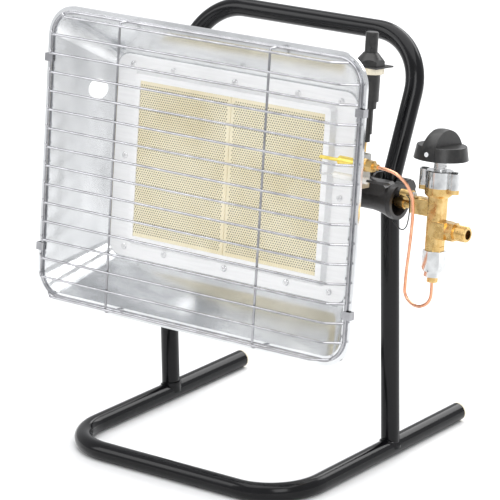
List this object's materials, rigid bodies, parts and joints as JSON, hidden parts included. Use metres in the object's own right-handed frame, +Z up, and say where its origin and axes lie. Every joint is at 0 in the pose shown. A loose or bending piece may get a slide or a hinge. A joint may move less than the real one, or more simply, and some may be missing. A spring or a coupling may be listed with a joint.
{
  "type": "portable gas heater",
  "caption": "Portable radiant gas heater: tilting reflector head with ceramic burner, wire guard and side valve on a bent tube stand.",
  "frame": {"origin": "bottom centre of the bounding box, on the floor", "axes": "+Z up, -Y out of the front of the heater, +X to the valve side"},
  "size_m": [0.4656, 0.3147, 0.452],
  "materials": {
    "black_tube": "satin powder coat",
    "cream_plastic": "matte",
    "black_plastic": "matte",
    "zinc_steel": "zinc plated",
    "reflector_steel": "polished",
    "bright_steel": "bright rolled",
    "ceramic": "matte",
    "fibre": "matte",
    "rivet_alloy": "satin",
    "chrome_wire": "bright",
    "black_casting": "painted black",
    "brass": "machined",
    "plated": "bright",
    "stem_steel": "machined",
    "spring_steel": "bright",
    "white_mark": "matte",
    "glazed_white": "glazed",
    "copper": "drawn copper",
    "cable_black": "matte"
  },
  "bodies": {
    "stand": {"base_tube": "black_tube", "arch_tube": "black_tube", "weld_beads": "black_tube", "end_caps": "cream_plastic"},
    "head": {"bonnet_screws": "zinc_steel", "bracket_nuts": "zinc_steel", "bracket_screws": "zinc_steel", "burner_frame": "bright_steel", "burner_housing": "bright_steel", "capillary": "copper", "capillary_nut": "brass", "ceramic_plaque_left": "ceramic", "ceramic_plaque_right": "ceramic", "earth_lead": "cable_black", "electrode_ceramic": "glazed_white", "electrode_wire": "stem_steel", "frame_rivets": "rivet_alloy", "gas_baffle": "bright_steel", "guard_bars": "chrome_wire", "guard_clips": "chrome_wire", "guard_frame": "chrome_wire", "guard_ties": "chrome_wire", "head_bracket": "zinc_steel", "igniter_body": "black_plastic", "igniter_bracket": "zinc_steel", "igniter_collar": "chrome_wire", "igniter_nut": "cream_plastic", "igniter_spring": "spring_steel", "igniter_terminal": "brass", "ignition_lead": "cable_black", "injector_holder": "brass", "injector_jet": "brass", "inlet_nozzle": "brass", "lug_screw": "zinc_steel", "magnet_nut": "plated", "magnet_unit": "plated", "mixing_tube": "black_casting", "pivot_bolts": "zinc_steel", "pivot_washers": "zinc_steel", "plaque_seal": "fibre", "probe_bracket": "zinc_steel", "probe_nuts": "brass", "reflector": "reflector_steel", "stem_spring": "spring_steel", "thermocouple": "plated", "tube_screws": "zinc_steel", "valve_body": "brass", "valve_bonnet": "plated"},
    "clamp_left": {"tilt_knob_left": "black_plastic"},
    "clamp_right": {"tilt_knob_right": "black_plastic"},
    "plunger": {"push_pin": "brass"},
    "knob": {"valve_stem": "stem_steel", "gas_knob": "black_plastic", "knob_dot": "white_mark"},
    "plug": {"valve_plug": "brass"},
    "button": {"igniter_button": "black_plastic"}
  },
  "joints": [
    {"name": "head_tilt", "type": "hinge", "parent": "stand", "child": "head", "pos_m": [-0.0347, 0.03225, 0.283], "axis": [-1, 0, 0], "range_deg": [-30, 30]},
    {"name": "clamp_left_turn", "type": "hinge", "parent": "head", "child": "clamp_left", "pos_m": [-0.1947, 0.03225, 0.283], "axis": [-1, 0, 0], "continuous": true},
    {"name": "clamp_right_turn", "type": "hinge", "parent": "head", "child": "clamp_right", "pos_m": [0.1253, 0.03225, 0.283], "axis": [1, 0, 0], "continuous": true},
    {"name": "valve_push", "type": "slide", "parent": "head", "child": "plunger", "axis": [0, -0.1219, -0.9925], "range_m": [0, 0.004], "stiffness_N_per_m": 1000, "springref_m": -0.003, "deforming": ["stem_spring"]},
    {"name": "knob_turn", "type": "hinge", "parent": "plunger", "child": "knob", "pos_m": [0.1958, -0.00713, 0.33706], "axis": [0, 0.1219, 0.9925], "range_deg": [0, 180]},
    {"name": "plug_turn", "type": "hinge", "parent": "head", "child": "plug", "pos_m": [0.1958, -0.0129, 0.29011], "axis": [0, 0.1219, 0.9925], "range_deg": [0, 180]},
    {"name": "button_push", "type": "slide", "parent": "head", "child": "button", "axis": [0, -0.1219, -0.9925], "range_m": [0, 0.007], "stiffness_N_per_m": 700, "springref_m": -0.003, "deforming": ["igniter_spring"]}
  ],
  "couplings": [
    {"joint": "plug_turn", "follows": "knob_turn", "ratio": 1}
  ]
}
